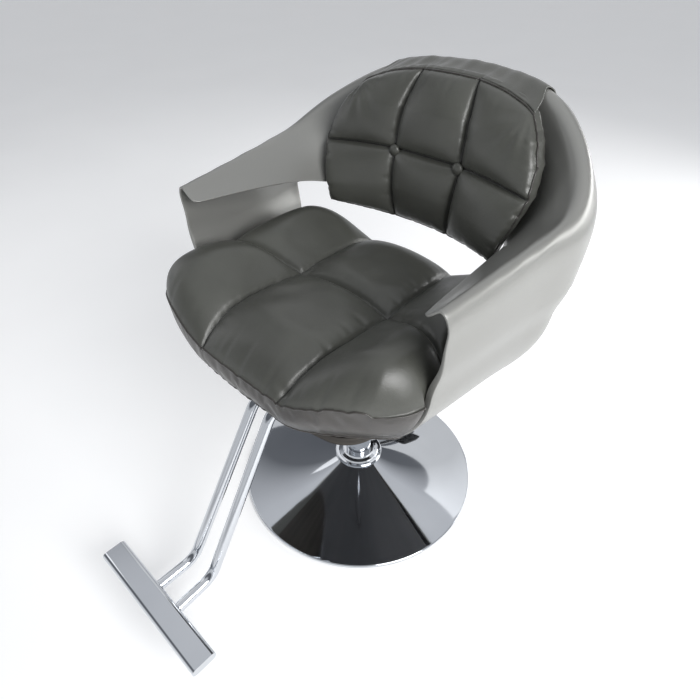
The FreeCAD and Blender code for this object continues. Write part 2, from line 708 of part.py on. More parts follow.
def make_flap():
    """The leather flap over the top of the back, held behind by three snaps."""
    surface = band_surface()
    last = 2 * (len(GUIDES["lip"]) - 1)
    lift = float(S["sheet_gauge"]) + FLAP_LIFT
    snaps = []
    for station in (SNAP_STATION, last / 2, last - SNAP_STATION):
        spot, away = surface.value(station / last, FLAP_SNAP), surface.normal(station / last, FLAP_SNAP)
        outward = away if away.y > 0 else -away
        foot = spot + outward * (lift + FLAP_GAUGE + 0.05)
        snaps.append(Part.makeCylinder(SNAP_RADIUS, SNAP_HEIGHT, foot, outward))
    node(shaped(Part.makeCompound(snaps)), "flap_snaps")
    surface.segment(FLAP_END / last, 1 - FLAP_END / last, *FLAP_REACH)
    lifted = surface.toShape().makeOffsetShape(OUTWARD * lift, 0.01, False, False, 0, 0, False)
    node(shaped(thickened(lifted, OUTWARD * FLAP_GAUGE)), "back_flap")


# ---------------------------------------------------------------- upholstery

def make_seat_cushion():
    """A plain closed pad: the D plan, narrowed to fit between the panels."""
    low, high = float(S["seat_level"]), float(S["seat_top"])
    half, front, rear = float(S["seat_half"]), float(S["seat_front"]), float(S["seat_rear"])
    slab = rounded_plan(half, front, rear, *SEAT_CORNERS).extrude(V(0, 0, high - low))
    slab.translate(V(0, 0, low))
    tunnel = section_between_panels(low, high, half, 2).extrude(V(0, 2 * front + 2 * rear, 0))
    tunnel.translate(V(0, -front - rear, 0))
    node(shaped(slab.common(tunnel)), "seat_cushion")


def crescent(half, front, rear, front_bow, rear_bow, level):
    """A plan section of the back cushion: both faces bowed around the sitter."""
    corners = [V(half, front - front_bow, level), V(-half, front - front_bow, level),
               V(-half, rear - rear_bow, level), V(half, rear - rear_bow, level)]
    return Part.Wire([Part.Arc(corners[0], V(0, front, level), corners[1]).toShape(),
                      Part.makeLine(corners[1], corners[2]),
                      Part.Arc(corners[2], V(0, rear, level), corners[3]).toShape(),
                      Part.makeLine(corners[3], corners[0])])


def make_back_cushion():
    pad_shape = Part.makeLoft([crescent(*sizes) for sizes in BACK_SECTIONS], True, False)
    radius, pocket = float(S["button_radius"]), float(S["button_pocket"])
    spread, reach, level = (float(S["button_" + name]) for name in ("spread", "reach", "level"))
    seats = [V(-spread, reach, level), V(spread, reach, level)]
    forward = V(0, -1, 0)
    pockets = [Part.makeCylinder(pocket, THROUGH, seat, forward) for seat in seats]
    node(shaped(pad_shape.cut(Part.makeCompound(pockets))), "back_cushion")
    dome = V(0, pocket / 2, 0)
    buttons = [Part.makeSphere(pocket, seat + dome).common(
        Part.makeCylinder(radius, THROUGH, seat, forward)) for seat in seats]
    node(shaped(Part.makeCompound(buttons)), "back_buttons")


def finish():
    """Recompute, check every object and write one file per node."""
    doc.recompute()
    for thing in doc.Objects:
        if "Invalid" in thing.State or "Error" in thing.State:
            raise SystemExit(f"{thing.Label} failed: {thing.State}")
    for thing in NODES:
        if thing.Shape.isNull() or not thing.Shape.isValid():
            raise SystemExit(f"{thing.Label} has no valid shape")
        box = thing.Shape.BoundBox
        print(f"{thing.Label:24s} {thing.Shape.Volume / 1000:9.2f} cm3  x {box.XMin:7.1f} {box.XMax:7.1f}"
              f"  y {box.YMin:7.1f} {box.YMax:7.1f}  z {box.ZMin:6.1f} {box.ZMax:6.1f}")
        thing.Shape.exportStep(f"parts/{thing.Label}.step")


make_floor_pad()
make_ballast()
make_base_cover()
make_base_collar()
make_pump()
make_gland()
make_pedal_bracket()
make_pedal_pin()
make_ram()
make_pedal()
make_hub()
make_mounting()
make_rails()
make_board()
TUBES = make_footrest()
make_footrest_clamps(TUBES)
make_bar()
make_cradle()
make_band()
make_flap()
make_seat_cushion()
make_back_cushion()
finish()
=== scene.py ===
import json
import math

import bpy
import numpy as np
from mathutils import Matrix, Vector


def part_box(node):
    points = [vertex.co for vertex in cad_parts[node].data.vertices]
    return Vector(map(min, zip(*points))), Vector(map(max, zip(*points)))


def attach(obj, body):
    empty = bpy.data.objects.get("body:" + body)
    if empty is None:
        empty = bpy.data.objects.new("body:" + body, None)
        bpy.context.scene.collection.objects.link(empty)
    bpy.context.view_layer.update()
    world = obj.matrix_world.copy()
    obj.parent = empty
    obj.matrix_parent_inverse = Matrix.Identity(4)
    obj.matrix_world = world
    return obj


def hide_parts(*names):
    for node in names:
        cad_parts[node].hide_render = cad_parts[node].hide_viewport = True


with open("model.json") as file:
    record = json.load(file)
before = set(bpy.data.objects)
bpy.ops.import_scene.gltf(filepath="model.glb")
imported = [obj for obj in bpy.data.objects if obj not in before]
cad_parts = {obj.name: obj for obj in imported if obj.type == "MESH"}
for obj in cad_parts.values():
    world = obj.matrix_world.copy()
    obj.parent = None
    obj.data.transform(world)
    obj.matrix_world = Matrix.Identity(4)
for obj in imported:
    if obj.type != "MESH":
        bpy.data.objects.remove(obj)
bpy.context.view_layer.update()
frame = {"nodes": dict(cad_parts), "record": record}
MM = 0.001


# ---------------------------------------------------------------- curves and meshes

def natural_spline(points, knots=None):
    """The natural cubic through the points, as a function of its parameter."""
    points = np.asarray(points, float)
    if knots is None:
        steps = np.linalg.norm(np.diff(points, axis=0), axis=1)
        knots = np.concatenate([[0], np.cumsum(steps) / steps.sum()])
    knots = np.asarray(knots, float)
    gaps, count = np.diff(knots), len(points)
    matrix, right = np.zeros((count, count)), np.zeros_like(points)
    matrix[0, 0] = matrix[-1, -1] = 1
    for i in range(1, count - 1):
        matrix[i, i - 1:i + 2] = gaps[i - 1], 2 * (gaps[i - 1] + gaps[i]), gaps[i]
        right[i] = 6 * ((points[i + 1] - points[i]) / gaps[i] - (points[i] - points[i - 1]) / gaps[i - 1])
    bends = np.linalg.solve(matrix, right)

    def value(t):
        t = np.asarray(t, float)
        k = np.clip(np.searchsorted(knots, t, side="right") - 1, 0, count - 2)
        gap = gaps[k]
        a, b = ((knots[k + 1] - t) / gap)[..., None], ((t - knots[k]) / gap)[..., None]
        bend = ((a ** 3 - a) * bends[k] + (b ** 3 - b) * bends[k + 1]) * gap[..., None] ** 2 / 6
        return a * points[k] + b * points[k + 1] + bend

    return value


def evenly(path, count):
    """The polyline resampled to count points at equal lengths."""
    path = np.asarray(path, float)
    run = np.concatenate([[0], np.cumsum(np.linalg.norm(np.diff(path, axis=0), axis=1))])
    spots = np.linspace(0, run[-1], count)
    return np.stack([np.interp(spots, run, path[:, axis]) for axis in range(3)], axis=1)


def smoothstep(value, low, high):
    t = np.clip((np.asarray(value, float) - low) / (high - low), 0, 1)
    return t * t * (3 - 2 * t)


def grid_faces(rows, columns, first=0, ring=False):
    """Quads of a grid stored row by row; ring joins the last column to the first."""
    faces = []
    for row in range(rows - 1):
        for column in range(columns if ring else columns - 1):
            beside = (column + 1) % columns
            faces.append((first + row * columns + column, first + row * columns + beside,
                          first + (row + 1) * columns + beside, first + (row + 1) * columns + column))
    return faces


def new_piece(name, points, faces, body, material):
    """A smooth-shaded mesh that rides on a body and wears the given material."""
    mesh = bpy.data.meshes.new(name)
    mesh.from_pydata([tuple(map(float, point)) for point in points], [], faces)
    mesh.polygons.foreach_set("use_smooth", [True] * len(mesh.polygons))
    mesh.materials.append(material)
    piece = bpy.data.objects.new(name, mesh)
    bpy.context.scene.collection.objects.link(piece)
    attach(piece, body)
    return piece


def turned(name, profile, body, material, segments=192):
    """A closed (radius, level) profile turned about the swivel axis."""
    points, count = [], len(profile)
    for step in range(segments):
        angle = math.tau * step / segments
        points += [(radius * math.cos(angle), radius * math.sin(angle), level) for radius, level in profile]
    faces = []
    for step in range(segments):
        onward = (step + 1) % segments
        for i in range(count):
            j = (i + 1) % count
            faces.append((step * count + i, onward * count + i, onward * count + j, step * count + j))
    return new_piece(name, points, faces, body, material)


def tube_mesh(path, radii, sides=12, closed=False):
    """Points and faces of a round tube along a path, with a flat cap at each open end."""
    path = np.asarray(path, float)
    count = len(path)
    radii = np.broadcast_to(radii, (count,))
    ahead = np.roll(path, -1, axis=0) - np.roll(path, 1, axis=0)
    if not closed:
        ahead[0], ahead[-1] = path[1] - path[0], path[-1] - path[-2]
    ahead /= np.linalg.norm(ahead, axis=1)[:, None]
    side = np.cross(ahead[0], (0, 0, 1) if abs(ahead[0][2]) < 0.9 else (1, 0, 0))
    points = []
    for spot, along, radius in zip(path, ahead, radii):
        side = side - along * np.dot(side, along)
        side /= np.linalg.norm(side)
        other = np.cross(along, side)
        for step in range(sides):
            angle = math.tau * step / sides
            points.append(spot + radius * (math.cos(angle) * side + math.sin(angle) * other))
    faces = grid_faces(count, sides, ring=True)
    if closed:
        last = (count - 1) * sides
        faces += [(last + i, last + (i + 1) % sides, (i + 1) % sides, i) for i in range(sides)]
    else:
        faces += [tuple(reversed(range(sides))), tuple(range((count - 1) * sides, count * sides))]
    return points, faces


# ---------------------------------------------------------------- materials

class Shader:
    """A principled material built node by node in object space."""

    def __init__(self, name, **sockets):
        self.material = bpy.data.materials.new(name)
        self.material.use_nodes = True
        self.tree = self.material.node_tree
        self.surface = self.tree.nodes["Principled BSDF"]
        self.place = self.tree.nodes.new("ShaderNodeTexCoord").outputs["Object"]
        for socket, value in sockets.items():
            self.surface.inputs[socket.replace("_", " ")].default_value = value

    def node(self, kind, settings=None, **inputs):
        made = self.tree.nodes.new("ShaderNode" + kind)
        for key, value in (settings or {}).items():
            setattr(made, key, value)
        for key, value in inputs.items():
            socket = made.inputs[key.replace("_", " ")]
            if isinstance(value, bpy.types.NodeSocket):
                self.tree.links.new(value, socket)
            else:
                socket.default_value = value
        return made

    def noise(self, scale, detail=4.0, roughness=0.5, stretch=(1, 1, 1)):
        """Fractal noise at a scale in waves per metre."""
        moved = self.node("Mapping", Vector=self.place, Scale=stretch).outputs["Vector"]
        return self.node("TexNoise", Vector=moved, Scale=scale, Detail=detail,
                         Roughness=roughness).outputs["Fac"]

    def cells(self, scale):
        return self.node("TexVoronoi", {"feature": "SMOOTH_F1"}, Vector=self.place,
                         Scale=scale).outputs["Distance"]

    def spread(self, value, low, high):
        """A 0 to 1 value mapped to low to high."""
        return self.node("MapRange", Value=value, To_Min=low, To_Max=high).outputs["Result"]

    def tint(self, value, dark, light):
        """A colour between dark and light by a 0 to 1 value."""
        ramp = self.node("ValToRGB", Fac=value)
        ramp.color_ramp.elements[0].position, ramp.color_ramp.elements[1].position = 0.3, 0.7
        ramp.color_ramp.elements[0].color = (*dark, 1)
        ramp.color_ramp.elements[1].color = (*light, 1)
        self.tree.links.new(ramp.outputs["Color"], self.surface.inputs["Base Color"])

    def rough(self, value, low, high):
        self.tree.links.new(self.spread(value, low, high), self.surface.inputs["Roughness"])

    def bump(self, *layers):
        """Stacked bumps, each a height value and its depth in metres."""
        normal = None
        for height, depth in layers:
            inputs = {"Height": height, "Distance": depth, "Strength": 1.0}
            if normal is not None:
                inputs["Normal"] = normal
            normal = self.node("Bump", **inputs).outputs["Normal"]
        self.tree.links.new(normal, self.surface.inputs["Normal"])


def make_leather(name, dark, light):
    """Satin artificial leather: fine pebble grain, soft creasing, slight sheen changes."""
    shader = Shader(name, Specular_IOR_Level=0.5, Coat_Weight=0.12, Coat_Roughness=0.35)
    shader.tint(shader.noise(9, 3), dark, light)
    shader.rough(shader.noise(60, 3), 0.31, 0.41)
    shader.bump((shader.cells(950), 0.00012), (shader.noise(260, 6, 0.6), 0.00025))
    return shader.material


def make_lacquer():
    """Satin pearl-grey metallic lacquer with a fine flake and a soft orange peel."""
    shader = Shader("shell_lacquer", Metallic=0.42, Specular_IOR_Level=0.5, Coat_Weight=0.35,
                    Coat_Roughness=0.25)
    shader.tint(shader.noise(2600, 2), (0.235, 0.235, 0.222), (0.285, 0.285, 0.270))
    shader.rough(shader.noise(35, 3), 0.34, 0.40)
    shader.bump((shader.noise(420, 2), 0.00002))
    return shader.material


def make_chrome():
    """Polished chrome plate: slight waviness and faint handling haze."""
    shader = Shader("chrome_plate", Metallic=1.0)
    shader.tint(shader.noise(7, 2), (0.62, 0.64, 0.67), (0.68, 0.70, 0.73))
    shader.rough(shader.noise(45, 5, 0.6), 0.03, 0.075)
    shader.bump((shader.noise(5, 1), 0.0002))
    return shader.material


def make_steel():
    """Ground steel with fine lengthwise scratches."""
    shader = Shader("ground_steel", Metallic=1.0)
    grain = shader.noise(240, 4, 0.6, stretch=(1, 1, 0.05))
    shader.tint(grain, (0.50, 0.51, 0.53), (0.64, 0.65, 0.67))
    shader.rough(grain, 0.20, 0.34)
    shader.bump((grain, 0.00003))
    return shader.material


def make_powder_coat():
    """Black powder coat: fine texture, slightly uneven gloss."""
    shader = Shader("powder_coat", Specular_IOR_Level=0.45)
    shader.tint(shader.noise(18, 3), (0.018, 0.018, 0.020), (0.030, 0.030, 0.032))
    shader.rough(shader.noise(90, 4), 0.42, 0.56)
    shader.bump((shader.noise(1100, 2), 0.00008))
    return shader.material


def make_cast_iron():
    shader = Shader("raw_iron", Metallic=0.6)
    shader.tint(shader.noise(60, 6, 0.7), (0.05, 0.048, 0.046), (0.11, 0.105, 0.10))
    shader.rough(shader.noise(80, 5), 0.55, 0.75)
    shader.bump((shader.noise(500, 5), 0.0003))
    return shader.material


def make_rubber():
    shader = Shader("black_rubber", Specular_IOR_Level=0.35)
    shader.tint(shader.noise(40, 4), (0.012, 0.012, 0.012), (0.024, 0.024, 0.024))
    shader.rough(shader.noise(120, 4), 0.68, 0.82)
    shader.bump((shader.noise(900, 3), 0.0001))
    return shader.material


def make_shaded_plywood():
    """Plywood drawn near-black as painted shade for the seat's dark underside, which shows in the chrome
    cover: long face grain and thin plies through the thickness.
    """
    shader = Shader("plywood_painted_shade", Specular_IOR_Level=0.3)
    grain = shader.noise(30, 6, 0.6, stretch=(1, 0.06, 12))
    shader.tint(grain, (0.016, 0.014, 0.012), (0.05, 0.044, 0.038))
    shader.rough(grain, 0.55, 0.70)
    shader.bump((grain, 0.0002))
    return shader.material


LEATHER = make_leather("olive_grey_leather", (0.058, 0.059, 0.052), (0.075, 0.077, 0.067))
BORDER_LEATHER = make_leather("border_leather", (0.030, 0.027, 0.024), (0.040, 0.036, 0.032))
THREAD = make_leather("seam_thread", (0.008, 0.008, 0.007), (0.014, 0.014, 0.013))
CHROME = make_chrome()
LACQUER = make_lacquer()
SLOT_MATERIALS = {
    "chrome": CHROME, "bright_steel": make_steel(), "black_steel": make_powder_coat(),
    "iron": make_cast_iron(), "rubber": make_rubber(), "plywood": make_shaded_plywood(),
    "shell": LACQUER, "upholstery": LEATHER,
}


def dress_cad_nodes():
    """Give every CAD node the procedural material of its record slot."""
    slots = {part["node"]: part["material_slot"] for part in frame["record"]["subparts"]}
    for name, cad in frame["nodes"].items():
        for place in cad.material_slots:
            place.material = SLOT_MATERIALS[slots[name]]


# ---------------------------------------------------------------- shell

# Guide curves of the shell, the +X half, in millimetres: from the front of the arm
# round to the middle of the back. Each has eight stations.
GUIDES = {
    "lip": [(271, -173, 711), (258, -60, 706), (241, 60, 695), (224, 131, 679),
            (188, 192, 664), (126, 236, 654), (63, 256, 650), (0, 262, 649)],
    "face": [(281, -176, 718), (281, -60, 724), (278, 62, 730), (268, 138, 735),
             (236, 204, 752), (163, 262, 776), (80, 281, 789), (0, 286, 792)],
    "shoulder": [(292, -178, 728), (303, -60, 742), (313, 61, 756), (311, 140, 772),
                 (275, 212, 819), (193, 277, 877), (100, 298, 903), (0, 304, 910)],
    "crest": [(302, -179, 735), (314, -60, 747), (326, 62, 761), (325, 142, 779),
              (288, 216, 829), (202, 287, 890), (106, 310, 917), (0, 316, 924)],
    "brow": [(310, -178, 726), (321, -60, 737), (333, 63, 750), (338, 148, 766),
             (301, 226, 814), (210, 298, 872), (112, 322, 899), (0, 328, 906)],
    "wall": [(312.5, -175, 690), (324.5, -60, 695), (336, 61, 700), (347, 152, 712),
             (316, 235, 738), (217, 299, 770), (112, 322, 784), (0, 328, 788)],
    "hem": [(312.5, -175, 640), (324, -60, 640), (336, 60, 640), (345, 150, 640),
            (303, 220, 648), (190, 256, 650), (90, 272, 646), (0, 277, 645)],
}
STATIONS = 2 * (len(GUIDES["lip"]) - 1)
ARM_STATION = 3
SECTION_ROWS = 64
PROFILE_STEPS = 22
ARM_COLUMNS = 36
BACK_COLUMNS = 120
PAN_ROWS = 130
LIP_ROUND = 0.012
LIP_FADE = 0.35  # in stations
SHEET_GAUGE = 0.004
PAN_GAUGE = 0.012
REAR_LEAN = 0.13
PAN_KNEE, PAN_RIM = 0.585, 0.6385
# Faces pointing further down than this take the painted shade of the pan's underside.
UNDERSIDE = -0.80
PAN_CORNER = 0.193
PAN_FLARE = 0.0095
PAN_FRONT = 0.178
THINS_FROM, THINS_TO = 0.57, 0.70
EDGE_ROUND = 0.0011
HEM_BAND_ROWS, HEM_PAN_ROWS, HEM_PASSES = 14, 10, 30


def mirrored_guide(name):
    half = [Vector(point) * MM for point in GUIDES[name]]
    whole = half + [Vector((-p.x, p.y, p.z)) for p in reversed(half[:-1])]
    return natural_spline([tuple(p) for p in whole], range(len(whole)))


GUIDE_CURVES = [mirrored_guide(name) for name in GUIDES]


def band_section(station, rows=SECTION_ROWS):
    """Evenly spaced points of the shell from lip to hem at a station."""
    section = natural_spline([curve(station) for curve in GUIDE_CURVES])
    fine = np.linspace(0, 1, 400)
    coarse = evenly(section(fine), PROFILE_STEPS)
    return evenly(natural_spline(coarse)(fine), rows)


def pan_section(station, hem, rows=PAN_ROWS):
    """The U of the seat pan at a station of the +X arm, from hem to hem."""
    bottom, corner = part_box("seat_cradle")[0].z, PAN_CORNER
    top, flat = hem[2], hem[0] - corner - PAN_FLARE
    centre = bottom + corner
    lean = REAR_LEAN * station / ARM_STATION
    arc = [(flat + corner * math.cos(a), centre - corner * math.sin(a))
           for a in np.linspace(0, math.pi / 2, 40)]
    right = [(hem[0], top)] + arc
    outline = right + [(-x, z) for x, z in reversed(right)]
    return evenly([(x, hem[1] - lean * (top - z), z) for x, z in outline], rows)


def round_lip_end(section, station):
    """Pull the front end of the lip back in a quarter round."""
    run = np.concatenate([[0], np.cumsum(np.linalg.norm(np.diff(section, axis=0), axis=1))])
    reach = np.clip(LIP_ROUND - run, 0, LIP_ROUND)
    front = np.clip(1 - min(station, STATIONS - station) / LIP_FADE, 0, 1)
    section[:, 1] += front * (LIP_ROUND - np.sqrt(LIP_ROUND ** 2 - reach ** 2))
    return section


def make_shell():
    """One seamless sheet: pan, both arms and the wrapped back."""
    arm = np.linspace(0, ARM_STATION, ARM_COLUMNS)
    back = np.linspace(ARM_STATION, STATIONS - ARM_STATION, BACK_COLUMNS)[1:-1]
    stations = np.concatenate([arm, back, STATIONS - arm[::-1]])
    count = len(stations)
    band = np.array([round_lip_end(band_section(u), u) for u in stations])
    pans = np.array([pan_section(u, band[c][-1]) for c, u in enumerate(arm)])
    for c, u in enumerate(arm):
        ease_hem(band, pans, c, count - 1 - c, 1 - smoothstep(u, 1.5, ARM_STATION))
    points = [*band.reshape(-1, 3), *pans[:, 1:-1].reshape(-1, 3)]
    first, inside = count * SECTION_ROWS, PAN_ROWS - 2

    def pan_id(c, row):
        if row == 0:
            return c * SECTION_ROWS + SECTION_ROWS - 1
        if row == PAN_ROWS - 1:
            return (count - 1 - c) * SECTION_ROWS + SECTION_ROWS - 1
        return first + c * inside + row - 1

    faces = list(grid_faces(count, SECTION_ROWS))
    for c in range(ARM_COLUMNS - 1):
        for row in range(PAN_ROWS - 1):
            faces.append((pan_id(c, row), pan_id(c, row + 1), pan_id(c + 1, row + 1), pan_id(c + 1, row)))
    shell = new_piece("shell", points, faces, "seat", LACQUER)
    stand_proud(shell)
    # painted shade on the pan's underside
    paint_underside_shade(shell)
    group = shell.vertex_groups.new(name="gauge")
    for index, point in enumerate(points):
        group.add([index], float(1 - smoothstep(point[2], THINS_FROM, THINS_TO)), "REPLACE")
    sheet = shell.modifiers.new("sheet", "SOLIDIFY")
    sheet.thickness, sheet.offset = PAN_GAUGE, -1
    sheet.vertex_group, sheet.thickness_vertex_group = group.name, SHEET_GAUGE / PAN_GAUGE
    edge = shell.modifiers.new("edge", "BEVEL")
    edge.width, edge.segments = EDGE_ROUND, 3
    edge.limit_method, edge.angle_limit = "ANGLE", math.radians(55)
    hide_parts("seat_cradle", "shell_band")
    return shell


def stand_proud(shell):
    """Move the band and the arm walls out by one gauge; the pan's bottom stays on its plate."""
    for vertex, normal in zip(shell.data.vertices, [v.vector.copy() for v in shell.data.vertex_normals]):
        vertex.co += normal * SHEET_GAUGE * float(smoothstep(vertex.co.z, PAN_KNEE, PAN_RIM))
    shell.data.update()


def paint_underside_shade(shell):
    """Painted shade: the pan's downward faces take the black powder coat in place of the lacquer, so the
    underside and its reflection in the chrome cover read dark.
    """
    shell.data.materials.append(SLOT_MATERIALS["black_steel"])
    for face in shell.data.polygons:
        if face.normal.z < UNDERSIDE and face.center.z < PAN_KNEE:
            face.material_index = 1


def ease_hem(band, pans, column, opposite, share):
    """Smooth the slight corner where an arm's wall runs into the pan."""
    for side, path_end in ((column, 0), (opposite, -1)):
        pan = pans[column] if path_end == 0 else pans[column][::-1]
        run = np.concatenate([band[side][-HEM_BAND_ROWS:], pan[1:HEM_PAN_ROWS]])
        eased = run.copy()
        for _ in range(HEM_PASSES):
            eased[1:-1] += 0.25 * (eased[:-2] + eased[2:] - 2 * eased[1:-1])
        run = run + share * (eased - run)
        band[side][-HEM_BAND_ROWS:] = run[:HEM_BAND_ROWS]
        pan[:HEM_PAN_ROWS] = run[HEM_BAND_ROWS - 1:]


# ---------------------------------------------------------------- cushions

THREAD_RADIUS = 0.0012
THREAD_PROUD = 0.0007
CLOTH_TICKS = 20


class Cushion:
    """A closed pillow: a front grid, a boxed edge and a rear grid that share their rims."""

    def __init__(self, front, rear, columns, rows, edge_rows, bulge):
        self.columns, self.rows = sum(columns), sum(rows)
        self.seam_columns = np.cumsum(columns)[:-1]
        self.seam_rows = np.cumsum(rows)[:-1]
        wide, tall = self.columns + 1, self.rows + 1
        self.front_id = np.arange(wide * tall).reshape(wide, tall)
        self.points = list(front.reshape(-1, 3))
        self.faces = grid_faces(wide, tall)
        loop = self.rim_cells()
        top = np.array([front[c] for c in loop])
        low = np.array([rear[c] for c in loop])
        middle = (top.mean(axis=0) + low.mean(axis=0)) / 2
        away = (top + low) / 2 - middle
        through = rear.mean(axis=(0, 1)) - front.mean(axis=(0, 1))
        through /= np.linalg.norm(through)
        away -= np.outer(away @ through, through)
        away /= np.linalg.norm(away, axis=1)[:, None]
        rings = [np.array([self.front_id[c] for c in loop])]
        for step in range(1, edge_rows):
            t = step / edge_rows
            ring = top + (low - top) * t + away * bulge * math.sin(math.pi * t)
            rings.append(self.append(ring))
        rear_id = -np.ones((wide, tall), int)
        inner = [(i, j) for i in range(1, wide - 1) for j in range(1, tall - 1)]
        last = self.append(low)
        for cell, index in zip(loop, last):
            rear_id[cell] = index
        for cell, index in zip(inner, self.append(np.array([rear[c] for c in inner]))):
            rear_id[cell] = index
        rings.append(last)
        for upper, lower in zip(rings, rings[1:]):
            for i in range(len(loop)):
                j = (i + 1) % len(loop)
                self.faces.append((int(upper[i]), int(lower[i]), int(lower[j]), int(upper[j])))
        for i in range(wide - 1):
            for j in range(tall - 1):
                self.faces.append(tuple(int(rear_id[c]) for c in ((i, j), (i, j + 1), (i + 1, j + 1),
                                                                  (i + 1, j))))
        self.rings, self.rear = rings, rear_id
        self.points = np.array(self.points)

    def append(self, rows):
        start = len(self.points)
        self.points.extend(rows)
        return np.arange(start, start + len(rows))

    def rim_cells(self):
        wide, tall = self.columns, self.rows
        return ([(i, 0) for i in range(wide)] + [(wide, j) for j in range(tall)]
                + [(i, tall) for i in range(wide, 0, -1)] + [(0, j) for j in range(tall, 0, -1)])

    def seam_ids(self):
        lines = [self.front_id[c, :] for c in self.seam_columns]
        lines += [self.front_id[:, r] for r in self.seam_rows]
        return np.unique(np.concatenate(lines))


def calm(move, cushion, passes=14):
    """Even out the small wobbles of the swollen front panels; their seams and rims stay."""
    field = move[cushion.front_id]
    fixed = np.zeros(field.shape[:2], bool)
    fixed[[0, -1], :] = fixed[:, [0, -1]] = True
    fixed[cushion.seam_columns, :] = fixed[:, cushion.seam_rows] = True
    for _ in range(passes):
        mean = sum(np.roll(field, shift, axis) for shift in (1, -1) for axis in (0, 1)) / 4
        field = np.where(fixed[:, :, None], field, mean)
    move[cushion.front_id] = field
    return move


def swell(piece, cushion, pressure, surplus, cap, loose_rim):
    """Cloth simulation: the panels swell between seams that hold; returns the new points."""
    held = piece.vertex_groups.new(name="held")
    firm = np.unique(np.concatenate([cushion.seam_ids(), cushion.rear.reshape(-1)]))
    held.add([int(i) for i in firm], 1.0, "REPLACE")
    held.add([int(i) for i in cushion.rings[0]], loose_rim, "REPLACE")
    cloth = piece.modifiers.new("cloth", "CLOTH")
    settings = cloth.settings
    settings.quality, settings.mass, settings.air_damping = 6, 0.25, 2.0
    settings.tension_stiffness = settings.compression_stiffness = 22
    settings.shear_stiffness, settings.bending_stiffness = 9, 6
    settings.use_pressure, settings.uniform_pressure_force = True, pressure
    settings.shrink_min = -surplus
    settings.vertex_group_mass, settings.pin_stiffness = held.name, 1.0
    settings.effector_weights.gravity = 0
    cloth.collision_settings.use_collision = False
    scene = bpy.context.scene
    for tick in range(1, CLOTH_TICKS + 1):
        scene.frame_set(tick)
    solved = piece.evaluated_get(bpy.context.evaluated_depsgraph_get()).data
    swollen = np.empty(len(solved.vertices) * 3, np.float32)
    solved.vertices.foreach_get("co", swollen)
    piece.modifiers.remove(cloth)
    scene.frame_set(1)
    move = calm(swollen.reshape(-1, 3) - cushion.points, cushion)
    size = np.linalg.norm(move, axis=1)
    return cushion.points + move * (np.tanh(size / cap) * cap / np.maximum(size, 1e-9))[:, None]


def upholster(name, cushion, pressure, surplus, cap, loose_rim, node, fit=None):
    piece = new_piece(name, cushion.points, cushion.faces, "seat", LEATHER)
    cushion.points = swell(piece, cushion, pressure, surplus, cap, loose_rim)
    if fit:
        cushion.points = fit(cushion.points)
    piece.data.vertices.foreach_set("co", cushion.points.astype(np.float32).reshape(-1))
    piece.data.update()
    smooth = piece.modifiers.new("smooth", "SUBSURF")
    smooth.levels = smooth.render_levels = 1
    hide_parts(node)
    lay_seams(name, piece, cushion)
    return piece


def lay_seams(name, piece, cushion):
    """A thin dark sewn line in the bottom of every groove between the panels."""
    skin = piece.evaluated_get(bpy.context.evaluated_depsgraph_get()).data
    lines = [cushion.front_id[c, :] for c in cushion.seam_columns]
    lines += [cushion.front_id[:, r] for r in cushion.seam_rows]
    for number, line in enumerate(lines):
        path = np.array([skin.vertices[int(index)].co + skin.vertices[int(index)].normal * THREAD_PROUD
                         for index in line])
        points, faces = tube_mesh(path, THREAD_RADIUS, 8)
        new_piece(f"{name}_seam_{number}", points, faces, "seat", THREAD)


def panel_share(count, cuts):
    """For each grid line, its place 0 to 1 within its own panel."""
    marks = np.concatenate([[0], np.cumsum(cuts)])
    index = np.arange(count + 1)
    panel = np.clip(np.searchsorted(marks, index, side="right") - 1, 0, len(cuts) - 1)
    return (index - marks[panel]) / (marks[panel + 1] - marks[panel])


def puff(columns, rows, power=0.55):
    """The pillow height 0 to 1 over a grid of sewn panels."""
    across = 1 - (2 * panel_share(sum(columns), columns) - 1) ** 2
    along = 1 - (2 * panel_share(sum(rows), rows) - 1) ** 2
    return np.outer(np.maximum(across, 0) ** power, np.maximum(along, 0) ** power)


SEAT_COLUMNS, SEAT_ROWS = (40, 44, 40), (50, 46)
SEAT_SEAM, SEAT_CROSS = 0.102, -0.115
# The +X half of the seat's outline at its piping, from the front's middle to the rear's.
SEAT_OUTLINE = [(0, -0.316), (0.10, -0.314), (0.195, -0.303), (0.266, -0.273), (0.297, -0.228),
                (0.302, -0.160), (0.297, -0.03), (0.289, 0.07), (0.262, 0.137), (0.19, 0.167),
                (0.10, 0.180), (0, 0.184)]
SEAT_FRONT_CORNER, SEAT_REAR_CORNER = SEAT_OUTLINE[3], SEAT_OUTLINE[8]
SEAT_LEVEL = 0.572
# The cover falls to its rim by these depths, over these numbers of grid cells.
SIDE_DROP, FRONT_DROP, REAR_DROP = 0.044, 0.036, 0.026
SIDE_CELLS, FRONT_CELLS, REAR_CELLS = 13, 22, 16
SEAT_DISH, SEAT_PUFF, SEAT_GROOVE = 0.035, 0.031, 0.005
SEAT_PIPING = 0.0020
WALL_GAP, WALL_EASE = 0.0015, 0.004
CORNER_MOVE = (-0.012, 0.018)
FREE_SPREAD, FREE_RUN = 0.06, 0.02


def seam_places(marks, counts):
    """Grid places along one axis: evenly spaced within each panel."""
    return np.concatenate([np.linspace(marks[k], marks[k + 1], counts[k] + 1)[k > 0:]
                           for k in range(len(counts))])


